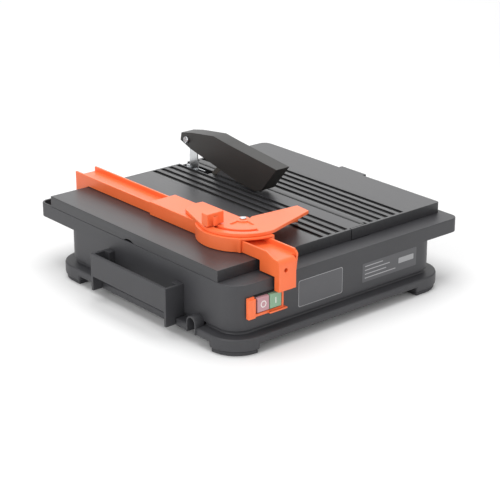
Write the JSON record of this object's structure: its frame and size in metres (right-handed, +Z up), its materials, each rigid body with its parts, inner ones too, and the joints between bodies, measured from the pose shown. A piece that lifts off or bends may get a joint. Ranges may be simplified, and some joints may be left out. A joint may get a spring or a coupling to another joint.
{
  "type": "tile cutter",
  "caption": "Bench wet tile cutter: diamond disc through a grooved table with a tilting half, water tray, guard on a riving knife, and a mitre gauge that slides on a cross fence.",
  "frame": {"origin": "on the bench, under the middle of the whole machine's box", "axes": "+X to the operator's right, along the disc's spindle; +Y away from the operator, along the cut; +Z up"},
  "size_m": [0.396, 0.404, 0.1524],
  "materials": {
    "black_abs": "fine moulded texture",
    "grey_abs": "satin moulded",
    "rubber": "matt",
    "zinc_steel": "bright zinc plated",
    "plated_can": "zinc plated",
    "ferrite": "sintered",
    "cast_alloy": "die cast",
    "bearing_steel": "ground",
    "phenolic": "moulded",
    "carbon": "pressed",
    "copper_windings": "varnished copper",
    "fan_nylon": "moulded",
    "disc_steel": "ground",
    "diamond_rim": "sintered",
    "knife_steel": "brushed",
    "guard_pc": "satin moulded",
    "orange_abs": "satin moulded",
    "switch_black": "moulded",
    "red_button": "clear moulded",
    "green_button": "clear moulded"
  },
  "bodies": {
    "machine": {"housing": "black_abs", "rim": "black_abs", "motor_bay": "black_abs", "base": "black_abs", "feet": "rubber", "base_screws": "zinc_steel", "water_tray": "black_abs", "drain_plug": "rubber", "carry_handle": "black_abs", "handle_screws": "zinc_steel", "fixed_table": "grey_abs", "hinge_pins": "zinc_steel", "motor_can": "plated_can", "magnets": "ferrite", "front_end_bell": "cast_alloy", "rear_end_bell": "cast_alloy", "motor_screws": "zinc_steel", "front_bearing_ring": "bearing_steel", "rear_bearing_ring": "bearing_steel", "brush_holders": "phenolic", "carbon_brushes": "carbon", "shaft_seal": "rubber", "riving_knife": "knife_steel", "knife_bracket": "zinc_steel", "knife_bolts": "zinc_steel", "bracket_screws": "zinc_steel", "guard_bolt": "zinc_steel", "guard_nut": "zinc_steel", "switch_frame": "orange_abs", "switch_body": "switch_black", "cable_gland": "rubber"},
    "tilt_table": {"tilt_table": "grey_abs"},
    "rotor": {"armature": "copper_windings", "commutator": "copper_windings", "cooling_fan": "fan_nylon", "spindle": "bearing_steel", "inner_flange": "plated_can", "disc_core": "disc_steel", "disc_rim": "diamond_rim", "outer_flange": "plated_can", "spindle_nut": "zinc_steel"},
    "guard": {"guard": "guard_pc"},
    "fence": {"fence": "orange_abs"},
    "gauge_slide": {"gauge_base": "orange_abs", "pivot_pin": "zinc_steel", "clamp_stud": "zinc_steel"},
    "gauge_arm": {"gauge_arm": "orange_abs"},
    "lock_knob": {"lock_knob": "orange_abs"},
    "off_button": {"off_button": "red_button"},
    "on_button": {"on_button": "green_button"}
  },
  "joints": [
    {"name": "table_tilt", "type": "hinge", "parent": "machine", "child": "tilt_table", "pos_m": [0.0617, 0.006, 0.092], "axis": [0, -1, 0], "range_deg": [0, 45]},
    {"name": "disc_spin", "type": "hinge", "parent": "machine", "child": "rotor", "pos_m": [0.046, 0.069, 0.064], "axis": [1, 0, 0], "continuous": true},
    {"name": "guard_lift", "type": "hinge", "parent": "machine", "child": "guard", "pos_m": [0.046, 0.154, 0.1347], "axis": [-1, 0, 0], "range_deg": [0, 45]},
    {"name": "fence_slide", "type": "slide", "parent": "machine", "child": "fence", "axis": [-1, 0, 0], "range_m": [-0.095, 0.052]},
    {"name": "gauge_slide", "type": "slide", "parent": "fence", "child": "gauge_slide", "axis": [0, 1, 0], "range_m": [-0.03, 0.14]},
    {"name": "arm_swing", "type": "hinge", "parent": "gauge_slide", "child": "gauge_arm", "pos_m": [-0.076, -0.094, 0.11], "axis": [0, 0, 1], "range_deg": [-45, 0]},
    {"name": "knob_turn", "type": "hinge", "parent": "gauge_slide", "child": "lock_knob", "pos_m": [-0.117, -0.08751, 0.12], "axis": [0, 0, 1], "range_deg": [0, 270]},
    {"name": "off_press", "type": "slide", "parent": "machine", "child": "off_button", "axis": [0, 1, 0], "range_m": [0, 0.003], "stiffness_N_per_m": 800},
    {"name": "on_press", "type": "slide", "parent": "machine", "child": "on_button", "axis": [0, 1, 0], "range_m": [0, 0.003], "stiffness_N_per_m": 800}
  ]
}
